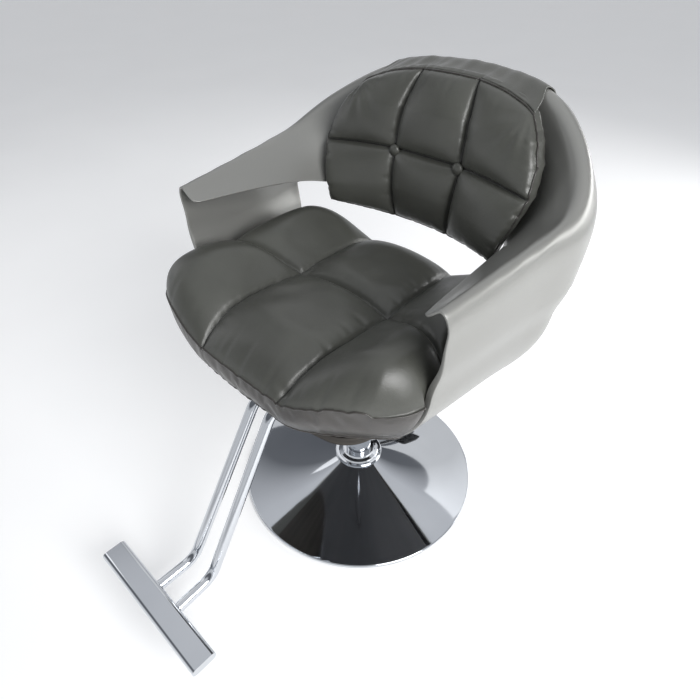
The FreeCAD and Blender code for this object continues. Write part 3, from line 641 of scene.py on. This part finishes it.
def seat_plan():
    """The plan of the seat's top grid: a rounded D, its cross seam bowed forward at the ends."""
    half = [(x, y, 0) for x, y in SEAT_OUTLINE]
    whole = half + [(-x, y, 0) for x, y, _ in reversed(half[:-1])]
    line = natural_spline(whole)(np.linspace(0, 1, 4001))
    front_line = line[line[:, 1] < SEAT_CROSS]
    front_line = front_line[np.argsort(front_line[:, 0])]
    rear_line = line[line[:, 1] > 0]
    rear_line = rear_line[np.argsort(rear_line[:, 0])]
    side_line = line[line[:, 0] > 0.2]
    side_line = side_line[np.argsort(side_line[:, 1])]
    fx, fy = SEAT_FRONT_CORNER
    rx, ry = SEAT_REAR_CORNER
    columns = seam_places([-1, -SEAT_SEAM / fx, SEAT_SEAM / fx, 1], SEAT_COLUMNS)
    levels = [fy, SEAT_CROSS, ry]
    rows = seam_places(levels, SEAT_ROWS)
    f = np.stack([columns * fx, np.interp(columns * fx, front_line[:, 0], front_line[:, 1])], axis=1)
    r = np.stack([columns * rx, np.interp(columns * rx, rear_line[:, 0], rear_line[:, 1])], axis=1)
    s = np.stack([np.interp(rows, side_line[:, 1], side_line[:, 0]), rows], axis=1)
    b = ((rows - rows[0]) / (rows[-1] - rows[0]))[None, :, None]
    a = ((columns + 1) / 2)[:, None, None]
    left = s * (-1, 1)
    ruled = (1 - b) * f[:, None] + b * r[:, None] + (1 - a) * left[None] + a * s[None]
    corners = (1 - a) * (1 - b) * f[0] + a * (1 - b) * f[-1] + (1 - a) * b * r[0] + a * b * r[-1]
    plan = ruled - corners
    tent = np.interp(rows, levels, [0, 1, 0])[None, :]
    seam = -0.041 - 0.99 * plan[:, SEAT_ROWS[0], 0] ** 2
    plan[:, :, 1] += tent * (seam - plan[:, SEAT_ROWS[0], 1])[:, None]
    plan += corner_pull(plan)[:, :, None] * CORNER_MOVE
    return plan


def corner_pull(plan):
    """1 at the seat's +X front corner, which is sewn tighter than the other, falling smoothly to 0."""
    return smoothstep(plan[:, :, 0], 0.10, 0.26) * smoothstep(-plan[:, :, 1], 0.15, 0.27)


def ripple(run, waves, seed):
    """Uneven gathers along a run in metres: 0 to 1, mostly low with a few strong folds."""
    phases = np.random.default_rng(seed).uniform(0, math.tau, len(waves))
    total = sum(np.sin(math.tau * run / wave + phase) for wave, phase in zip(waves, phases))
    return np.clip(total / len(waves) + 0.15, 0, 1) ** 1.3


def near(distance, reach):
    """1 on a line, falling smoothly to 0 at reach."""
    return (1 - np.clip(np.abs(distance) / reach, 0, 1)) ** 2


def seam_dip(columns, rows, depth):
    """A narrow groove one grid line wide along every seam."""
    dip = np.zeros((sum(columns) + 1, sum(rows) + 1))
    dip[np.cumsum(columns)[:-1], :] = depth
    dip[:, np.cumsum(rows)[:-1]] = depth
    return dip


def seat_gathers(x, y, plan):
    """How far the gathers by the seams and the front piping push the seat's cover in."""
    depth = 0 * x
    cross = plan[:, SEAT_ROWS[0], 1][:, None]
    for side, seed in ((-1, 3), (1, 5)):
        long_seam = np.abs(x - side * SEAT_SEAM)
        depth += 0.0028 * near(long_seam, 0.042) * ripple(y, (0.031, 0.019, 0.047), seed)
    depth += 0.0023 * near(y - cross, 0.036) * ripple(x, (0.027, 0.017, 0.043), 9)
    front = plan[:, 0, 1][:, None]
    strength = 0.45 + 0.55 * smoothstep(x, -0.10, 0.12)
    depth += 0.0050 * strength * near(y - front, 0.085) * ripple(x, (0.036, 0.022, 0.055), 12)
    crossing = np.minimum(np.hypot(x - SEAT_SEAM, y - cross), np.hypot(x + SEAT_SEAM, y - cross))
    angle = np.arctan2(y - cross, np.abs(x) - SEAT_SEAM)
    depth += 0.0052 * near(crossing, 0.050) * (0.5 + 0.5 * np.sin(8 * angle + 1.3 * np.sin(3 * angle)))
    return depth


def fit_in_pan(points):
    """Press the seat's sides flat against the pan's inner wall; ahead of the pan they are free."""
    hem = np.array(GUIDES["hem"][:ARM_STATION + 1]) * MM
    side, ahead, level = points.T
    edge = np.interp(ahead, hem[:, 1], hem[:, 0]) - PAN_FLARE - PAN_GAUGE
    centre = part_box("seat_cradle")[0].z + PAN_CORNER
    inner = PAN_CORNER - PAN_GAUGE
    fall = np.clip(centre - level, 0, inner)
    flare = PAN_FLARE * np.clip((level - centre) / (PAN_RIM - centre), 0, 1)
    wall = edge - inner + np.sqrt(inner ** 2 - fall ** 2) + flare - WALL_GAP
    wall += FREE_SPREAD * smoothstep(-ahead, PAN_FRONT, PAN_FRONT + FREE_RUN)
    over = np.abs(side) - (wall - WALL_EASE)
    pressed = wall - WALL_EASE * np.exp(-np.maximum(over, 0) / WALL_EASE)
    return np.stack([np.where(over > 0, np.sign(side) * pressed, side), ahead, level], axis=1)


def make_seat_cushion():
    plan = seat_plan()
    x, y = plan[:, :, 0], plan[:, :, 1]
    across = np.arange(sum(SEAT_COLUMNS) + 1)[:, None] + 0 * x
    along = np.arange(sum(SEAT_ROWS) + 1)[None, :] + 0 * x
    to_side = np.clip(np.minimum(across, sum(SEAT_COLUMNS) - across) / SIDE_CELLS, 0, 1)
    to_front = np.clip(along / FRONT_CELLS, 0, 1)
    to_rear = np.clip((sum(SEAT_ROWS) - along) / REAR_CELLS, 0, 1)
    dish = SEAT_DISH * smoothstep(abs(x), SEAT_SEAM, 0.235)
    drop = np.maximum(SIDE_DROP * (1 - to_side) ** 2,
                      np.maximum(FRONT_DROP * (1 - to_front) ** 2, REAR_DROP * (1 - to_rear) ** 2))
    lift = SEAT_PUFF * puff(SEAT_COLUMNS, SEAT_ROWS, 0.5) - seam_dip(SEAT_COLUMNS, SEAT_ROWS, SEAT_GROOVE)
    front = np.stack([x, y, SEAT_LEVEL + dish - drop + lift - seat_gathers(x, y, plan)], axis=2)
    ahead = smoothstep(-y, 0.15, 0.22)
    pulled = corner_pull(plan)
    rear = np.stack([x * (0.80 + 0.10 * ahead) + CORNER_MOVE[0] * pulled,
                     y + 0.019 * ahead + 0.012 * pulled - 0.016 * smoothstep(y, 0.05, 0.15),
                     0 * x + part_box("seat_cushion")[0].z + 0.003], axis=2)
    cushion = Cushion(front, rear, SEAT_COLUMNS, SEAT_ROWS, edge_rows=14, bulge=0.007)
    piece = upholster("seat_cushion_cover", cushion, pressure=3.0, surplus=0.010, cap=0.008,
                      loose_rim=0.9, node="seat_cushion", fit=fit_in_pan)
    paint_boxing(piece, cushion)
    pipe_rim("seat_piping_upper", cushion.points[cushion.rings[0]], SEAT_PIPING)
    pipe_rim("seat_piping_lower", cushion.points[cushion.rings[-2]], SEAT_PIPING)
    return piece


def paint_boxing(piece, cushion):
    """The strip between the two pipings is the browner border leather."""
    piece.data.materials.append(BORDER_LEATHER)
    strip = set(int(index) for ring in cushion.rings for index in ring)
    for face in piece.data.polygons:
        if all(index in strip for index in face.vertices):
            face.material_index = 1


def pipe_rim(name, path, radius):
    points, faces = tube_mesh(path, radius, 10, closed=True)
    return new_piece(name, points, faces, "seat", BORDER_LEATHER)


BACK_COLUMNS_IN, BACK_ROWS_IN = (32, 34, 32), (32, 34)
BACK_SEAM = 0.33
BUTTON_OFFSET = BACK_SEAM * 0.236
BUTTON_SINK = 0.004
BACK_PUFF, BACK_GROOVE = 0.025, 0.004
BACK_FACING = (0.98, 0.12)
BACK_PIPING = 0.0017


def back_gathers(x, z):
    """How far the gathers by the back's seams, corners and edges push its cover in."""
    depth = 0 * x
    for side, seed in ((-1, 21), (1, 23)):
        seam = x - side * BACK_SEAM * x[-1][None, :]
        depth += 0.0022 * near(seam, 0.030) * ripple(z, (0.029, 0.018, 0.041), seed)
    cross = z - z[:, BACK_ROWS_IN[0]][:, None]
    depth += 0.0014 * near(cross, 0.026) * ripple(x, (0.021, 0.013, 0.034), 25)
    top = z[:, -1][:, None] - z
    depth += 0.0024 * near(top, 0.060) * ripple(x, (0.034, 0.021, 0.052), 27)
    low = z - z[:, 0][:, None]
    depth += 0.0026 * near(low, 0.030) * ripple(x, (0.030, 0.019, 0.047), 29)
    edge = x[-1][None, :] - abs(x)
    depth += 0.0040 * near(edge, 0.038) * ripple(z, (0.023, 0.015, 0.036), 31)
    corner = np.hypot(abs(x) - x[-1, -1], z - z[-1, -1])
    angle = np.arctan2(z[-1, -1] - z, x[-1, -1] - abs(x))
    depth += 0.0045 * near(corner, 0.14) * smoothstep(corner, 0, 0.02) * (0.5 + 0.5 * np.sin(11 * angle))
    button = np.hypot(abs(x) - BUTTON_OFFSET, z - z[0, BACK_ROWS_IN[0]])
    turn = np.arctan2(z - z[0, BACK_ROWS_IN[0]], abs(x) - BUTTON_OFFSET)
    depth += 0.0030 * near(button, 0.040) * (0.5 + 0.5 * np.sin(8 * turn))
    return depth


def make_back_cushion():
    s = seam_places([-1, -BACK_SEAM, BACK_SEAM, 1], BACK_COLUMNS_IN)[:, None]
    t = seam_places([0, 0.5, 1], BACK_ROWS_IN)[None, :]
    half = np.interp(t, [0, 0.12, 0.3, 0.5, 0.7, 0.85, 0.95, 1],
                     [0.203, 0.213, 0.227, 0.238, 0.232, 0.216, 0.197, 0.186])
    low, high = 0.632 + 0.016 * s ** 2, 0.914 - 0.034 * abs(s) ** 2.6
    z = low + (high - low) * t
    x = s * half
    centre = np.interp(z, [0.63, 0.70, 0.77, 0.85, 0.92], [0.190, 0.187, 0.189, 0.208, 0.243])
    bow = np.interp(z, [0.63, 0.69, 0.78, 0.88, 0.92], [0.067, 0.060, 0.031, 0.004, 0.0])
    y = centre - bow * s ** 2
    lift = BACK_PUFF * puff(BACK_COLUMNS_IN, BACK_ROWS_IN, 0.42) - back_gathers(x, z)
    lift -= seam_dip(BACK_COLUMNS_IN, BACK_ROWS_IN, BACK_GROOVE)
    front = np.stack([x, y - lift * BACK_FACING[0], z + lift * BACK_FACING[1]], axis=2)
    corner_cut = (0.20 + 0.46 * (1 - smoothstep(z, 0.69, 0.77))) * s ** 6
    thick = np.interp(z, [0.63, 0.78, 0.92], [0.036, 0.060, 0.034]) * (1 - corner_cut)
    rear = np.stack([x * 0.97, y + thick + 0 * x, z + 0.004 * (0.5 - t)], axis=2)
    cushion = Cushion(front[::-1], rear[::-1], BACK_COLUMNS_IN, BACK_ROWS_IN, edge_rows=12,
                      bulge=0.006)
    upholster("back_cushion_cover", cushion, pressure=3.0, surplus=0.010, cap=0.007,
              loose_rim=0.9, node="back_cushion")
    pipe_rim("back_piping", cushion.points[cushion.rings[0]], BACK_PIPING)
    return cushion.points[cushion.front_id[::-1, -1]]


def make_buttons():
    """Two covered buttons: low domes with a tucked edge."""
    low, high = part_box("back_buttons")
    radius = (high.z - low.z) / 2
    profile = [(0, -0.004), (0.86, -0.0035), (1.0, -0.001), (0.97, 0.002), (0.8, 0.0048), (0.5, 0.0066),
               (0.2, 0.0074), (0, 0.0076)]
    points, faces, sides = [], [], 32
    for side in (-1, 1):
        centre = Vector((side * (high.x - radius), high.y - BUTTON_SINK, (low.z + high.z) / 2))
        first = len(points)
        for share, depth in profile:
            for step in range(sides):
                angle = math.tau * step / sides
                points.append(centre + Vector((share * radius * math.cos(angle), -depth,
                                               share * radius * math.sin(angle))))
        faces += grid_faces(len(profile), sides, first, ring=True)
    buttons = new_piece("back_button_covers", points, faces, "seat", LEATHER)
    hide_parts("back_buttons")
    return buttons


# ---------------------------------------------------------------- flap

FLAP_ROWS, FLAP_COLUMNS = 44, 110
FLAP_END = 5.4
FLAP_SHARES = (0.50, 0.62)
FLAP_GAUGE = 0.0022
FLAP_CLEAR = 0.0019
FLAP_SAMPLES = 200
FLAP_TUCK = (0, 0.004, 0.0015)
# Each crease of the flap: its waves across, its height and its slant.
FLAP_CREASES = ((3, 0.0009, 0.9), (7, 0.0008, -0.6), (11, 0.0005, 0.5))


def make_flap(top_edge):
    """The leather flap: from the cushion's top seam, over the shell's crest and down behind."""
    stations = np.linspace(FLAP_END, STATIONS - FLAP_END, FLAP_COLUMNS)
    sections = np.array([band_section(station, FLAP_SAMPLES) for station in stations])
    along, over = np.gradient(sections, axis=0), np.gradient(sections, axis=1)
    away = np.cross(along, over)
    away /= np.linalg.norm(away, axis=2)[:, :, None]
    ends = [share * (FLAP_SAMPLES - 1) for share in FLAP_SHARES]
    picks = np.linspace(*ends, 6).round().astype(int)
    if away[FLAP_COLUMNS // 2, picks[0]][2] < 0:
        away = -away
    outside = sections + away * (SHEET_GAUGE + FLAP_GAUGE / 2 + FLAP_CLEAR)
    share = np.linspace(1, -1, FLAP_COLUMNS)
    edge_share = np.linspace(-1, 1, len(top_edge))
    start = np.stack([np.interp(share, edge_share, top_edge[:, axis]) for axis in range(3)], axis=1)
    rows = []
    for column in range(FLAP_COLUMNS):
        anchor = start[column] + FLAP_TUCK
        reach = outside[column, picks[0]] - anchor
        bridge = [anchor, anchor + reach * (0.5, 0.5, 0.62)]
        rows.append(evenly(natural_spline(bridge + list(outside[column, picks]))(
            np.linspace(0, 1, FLAP_SAMPLES)), FLAP_ROWS))
    rows = np.array(rows)
    lift = np.cross(np.gradient(rows, axis=0), np.gradient(rows, axis=1))
    lift /= np.linalg.norm(lift, axis=2)[:, :, None]
    if lift[FLAP_COLUMNS // 2, FLAP_ROWS // 3][2] < 0:
        lift = -lift
    t, span = np.linspace(0, 1, FLAP_ROWS)[None, :], np.linspace(0, 1, FLAP_COLUMNS)[:, None]
    crease = sum(amount * np.sin(math.tau * (turns * span + slant * t) + turns)
                 for turns, amount, slant in FLAP_CREASES)
    points = rows + lift * (crease * smoothstep(t, 0, 0.1) * (1 - smoothstep(t, 0.35, 0.6)))[:, :, None]
    flap = new_piece("back_flap_leather", points.reshape(-1, 3), grid_faces(FLAP_COLUMNS, FLAP_ROWS),
                     "seat", LEATHER)
    sheet = flap.modifiers.new("sheet", "SOLIDIFY")
    sheet.thickness, sheet.offset = FLAP_GAUGE, 0
    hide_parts("back_flap")
    return flap


# ---------------------------------------------------------------- chrome

def arc_through(first, middle, last, count):
    """Points of the circular arc through three (radius, level) points."""
    ax, ay, bx, by, cx, cy = *first, *middle, *last
    d = 2 * (ax * (by - cy) + bx * (cy - ay) + cx * (ay - by))
    a2, b2, c2 = ax * ax + ay * ay, bx * bx + by * by, cx * cx + cy * cy
    ux = (a2 * (by - cy) + b2 * (cy - ay) + c2 * (ay - by)) / d
    uy = (a2 * (cx - bx) + b2 * (ax - cx) + c2 * (bx - ax)) / d
    radius = math.hypot(ax - ux, ay - uy)
    start, end = math.atan2(ay - uy, ax - ux), math.atan2(cy - uy, cx - ux)
    return [(ux + radius * math.cos(angle), uy + radius * math.sin(angle))
            for angle in np.linspace(start, end, count)]


def make_base():
    """The spun chrome cover, turned finely enough for clean reflections."""
    low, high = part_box("base_cover")
    rim, top, foot = high.x, high.z, low.z
    gauge, knee, neck, bore = 0.0025, 0.010, 0.057, 0.045
    outer = arc_through((rim - 0.003, knee), (rim * 0.57, knee + 0.019), (neck, top), 60)
    inner = [(r - gauge * 0.3, z - gauge) for r, z in reversed(outer)]
    lip = arc_through((rim, knee - 0.003), (rim - 0.0009, knee - 0.0009), (rim - 0.003, knee), 6)
    profile = [(rim - gauge, foot), (rim - 0.0004, foot), (rim, foot + 0.0006)] + lip + outer[1:]
    profile += [(bore, top), (bore, top - gauge)] + inner[:-1] + [(rim - gauge, knee - gauge - 0.001)]
    base = turned("base_cover_chrome", profile, "base", CHROME, 256)
    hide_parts("base_cover")
    return base


# ---------------------------------------------------------------- studio

CAMERA_PLACE = (0.6048, -0.6754, 1.1409)
CAMERA_AZIMUTH, CAMERA_ELEVATION, CAMERA_ROLL = 43.196, 39.304, -0.1275
CAMERA_LENS = 27.42


def make_camera():
    a, e, r = map(math.radians, (CAMERA_AZIMUTH, CAMERA_ELEVATION, CAMERA_ROLL))
    right = Vector((math.cos(a), math.sin(a), 0))
    back = Vector((math.sin(a) * math.cos(e), -math.cos(a) * math.cos(e), math.sin(e)))
    up = back.cross(right)
    turned_right = math.cos(r) * right + math.sin(r) * up
    turned_up = math.cos(r) * up - math.sin(r) * right
    data = bpy.data.cameras.new("camera")
    data.lens, data.sensor_width, data.clip_end = CAMERA_LENS, 36, 100
    camera = bpy.data.objects.new("camera", data)
    camera.matrix_world = (Matrix.Translation(CAMERA_PLACE)
                           @ Matrix((turned_right, turned_up, back)).transposed().to_4x4())
    bpy.context.scene.collection.objects.link(camera)
    bpy.context.scene.camera = camera


def area_light(name, place, target, size, power):
    data = bpy.data.lights.new(name, "AREA")
    data.shape, data.size, data.size_y, data.energy = "RECTANGLE", size[0], size[1], power
    light = bpy.data.objects.new(name, data)
    light.location = place
    light.rotation_euler = (Vector(target) - Vector(place)).to_track_quat("-Z", "Y").to_euler()
    bpy.context.scene.collection.objects.link(light)


# The room's tone by height, 0 at the horizon and 1 overhead: bright walls and ceiling, a dim band between.
ROOM_TONES = [(0.0, (0.95, 0.97, 1.0)), (0.22, (0.80, 0.82, 0.85)), (0.38, (0.16, 0.17, 0.19)),
              (0.68, (0.20, 0.21, 0.23)), (0.84, (0.82, 0.84, 0.88)), (1.0, (0.90, 0.92, 0.95))]
ROOM_STRENGTH = 0.78


def make_studio():
    """A pale floor, a soft bright room and four soft boxes."""
    mesh = bpy.data.meshes.new("floor")
    mesh.from_pydata([(-30, -30, 0), (30, -30, 0), (30, 30, 0), (-30, 30, 0)], [], [(0, 1, 2, 3)])
    floor = bpy.data.objects.new("floor", mesh)
    bpy.context.scene.collection.objects.link(floor)
    paint = Shader("pale_floor", Specular_IOR_Level=0.2, Emission_Color=(1, 1, 1, 1), Emission_Strength=0.17)
    paint.tint(paint.noise(2, 2), (0.90, 0.90, 0.90), (0.93, 0.93, 0.93))
    paint.rough(paint.noise(30, 3), 0.7, 0.8)
    mesh.materials.append(paint.material)
    world = bpy.data.worlds.new("room")
    bpy.context.scene.world = world
    world.use_nodes = True
    tree = world.node_tree
    backdrop = tree.nodes["Background"]
    direction = tree.nodes.new("ShaderNodeTexCoord").outputs["Generated"]
    split = tree.nodes.new("ShaderNodeSeparateXYZ")
    tree.links.new(direction, split.inputs["Vector"])
    ramp = tree.nodes.new("ShaderNodeValToRGB")
    tree.links.new(split.outputs["Z"], ramp.inputs["Fac"])
    stops = ramp.color_ramp.elements
    stops[0].position, stops[0].color = ROOM_TONES[0][0], (*ROOM_TONES[0][1], 1)
    stops[1].position, stops[1].color = ROOM_TONES[-1][0], (*ROOM_TONES[-1][1], 1)
    for level, tone in ROOM_TONES[1:-1]:
        stops.new(level).color = (*tone, 1)
    tree.links.new(ramp.outputs["Color"], backdrop.inputs["Color"])
    backdrop.inputs["Strength"].default_value = ROOM_STRENGTH
    bpy.context.scene.view_settings.view_transform = "Standard"
    area_light("key", (2.3, -0.5, 1.9), (0, 0, 0.6), (1.6, 1.4), 74)
    area_light("rear", (-1.3, 1.9, 2.3), (0, 0, 0.6), (3.0, 2.0), 11)
    area_light("crest", (1.5, 2.4, 1.15), (0.3, 0, 0.75), (2.4, 0.9), 30)
    area_light("left", (-2.2, -0.9, 1.8), (0, 0, 0.6), (1.2, 1.6), 5)


# ---------------------------------------------------------------- build

make_camera()
make_studio()
dress_cad_nodes()
make_seat_cushion()
back_top_edge = make_back_cushion()
make_buttons()
make_shell()
make_flap(back_top_edge)
make_base()
